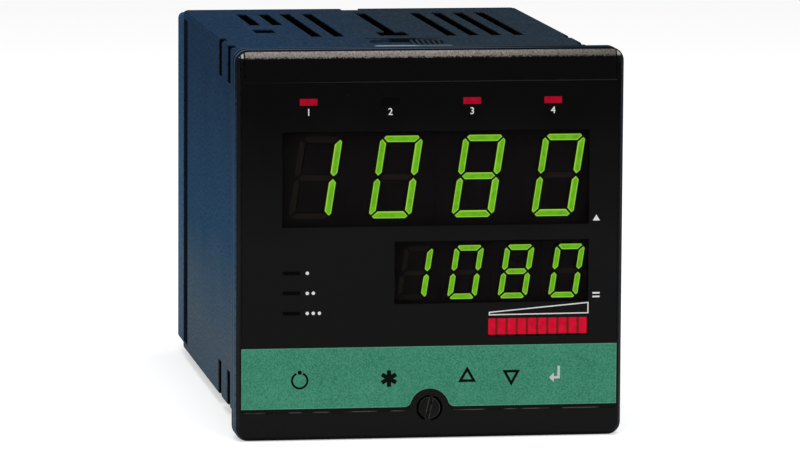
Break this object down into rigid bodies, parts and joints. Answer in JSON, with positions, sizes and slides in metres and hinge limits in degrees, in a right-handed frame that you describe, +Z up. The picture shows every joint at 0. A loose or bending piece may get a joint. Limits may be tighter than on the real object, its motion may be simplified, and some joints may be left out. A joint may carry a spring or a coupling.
{
  "type": "pid temperature controller",
  "caption": "Panel-mounted temperature controller with a square front, two digital displays, a bar display, film keys and a plug-in chassis in a slotted case.",
  "frame": {"origin": "centre of the panel plane, which is the rear face of the gasket", "axes": "+X right as seen from the front, +Y into the panel along the case, +Z up"},
  "size_m": [0.096, 0.152, 0.096],
  "materials": {
    "blue_case": "fine-grained moulded plastic",
    "black_frame": "fine-grained moulded plastic",
    "film": "satin printed polyester film",
    "smoked_filter": "clear smoked acrylic",
    "display_housing": "dull black",
    "green_light": "lit green light bar",
    "red_light": "red light bar",
    "rubber_black": "soft matt",
    "terminal_black": "moulded plastic",
    "plated_steel": "zinc plated",
    "black_steel": "blackened",
    "brass_insert": "knurled",
    "board_green": "solder-masked glass epoxy",
    "core_steel": "varnished laminations",
    "coil_tape": "wound and taped",
    "relay_case": "moulded cover",
    "capacitor_sleeve": "shrunk sleeve",
    "chip_black": "moulded",
    "key_grey": "moulded"
  },
  "bodies": {
    "case_side": {"sleeve": "blue_case", "panel_gasket": "rubber_black", "threaded_insert": "brass_insert", "terminal_block": "terminal_black", "terminal_clamps": "plated_steel", "rear_shroud": "blue_case", "case_connectors": "terminal_black"},
    "front_unit": {"front_bezel": "black_frame", "overlay_film": "film", "display_filter": "smoked_filter", "pv_display": "display_housing", "sv_display": "display_housing", "pv_light_bars": "green_light", "sv_light_bars": "green_light", "bargraph_module": "display_housing", "bargraph_bars": "red_light", "output_led_1": "red_light", "output_led_2": "red_light", "output_led_3": "red_light", "output_led_4": "red_light", "status_leds": "red_light", "key_switches": "chip_black", "screw_clip": "black_steel", "display_board": "board_green", "board_headers": "chip_black", "main_board": "board_green", "option_board": "board_green", "power_board": "board_green", "transformer_core": "core_steel", "transformer_coil": "coil_tape", "relays": "relay_case", "filter_capacitors": "capacitor_sleeve", "main_board_chips": "chip_black", "option_board_chips": "chip_black"},
    "screw": {"retaining_screw": "black_steel"},
    "key_1_body": {"key_1": "key_grey"},
    "key_2_body": {"key_2": "key_grey"},
    "key_3_body": {"key_3": "key_grey"},
    "key_4_body": {"key_4": "key_grey"},
    "key_5_body": {"key_5": "key_grey"}
  },
  "joints": [
    {"name": "front_unit_slide", "type": "slide", "parent": "case_side", "child": "front_unit", "axis": [0, -1, 0], "range_m": [0, 0.135]},
    {"name": "retaining_screw_turn", "type": "hinge", "parent": "front_unit", "child": "screw", "pos_m": [0, -0.0093, -0.0404], "axis": [0, -1, 0], "continuous": true},
    {"name": "key_1_press", "type": "slide", "parent": "front_unit", "child": "key_1_body", "axis": [0, 1, 0], "range_m": [0, 0.0003], "stiffness_N_per_m": 4000, "springref_m": -0.0001},
    {"name": "key_2_press", "type": "slide", "parent": "front_unit", "child": "key_2_body", "axis": [0, 1, 0], "range_m": [0, 0.0003], "stiffness_N_per_m": 4000, "springref_m": -0.0001},
    {"name": "key_3_press", "type": "slide", "parent": "front_unit", "child": "key_3_body", "axis": [0, 1, 0], "range_m": [0, 0.0003], "stiffness_N_per_m": 4000, "springref_m": -0.0001},
    {"name": "key_4_press", "type": "slide", "parent": "front_unit", "child": "key_4_body", "axis": [0, 1, 0], "range_m": [0, 0.0003], "stiffness_N_per_m": 4000, "springref_m": -0.0001},
    {"name": "key_5_press", "type": "slide", "parent": "front_unit", "child": "key_5_body", "axis": [0, 1, 0], "range_m": [0, 0.0003], "stiffness_N_per_m": 4000, "springref_m": -0.0001}
  ]
}
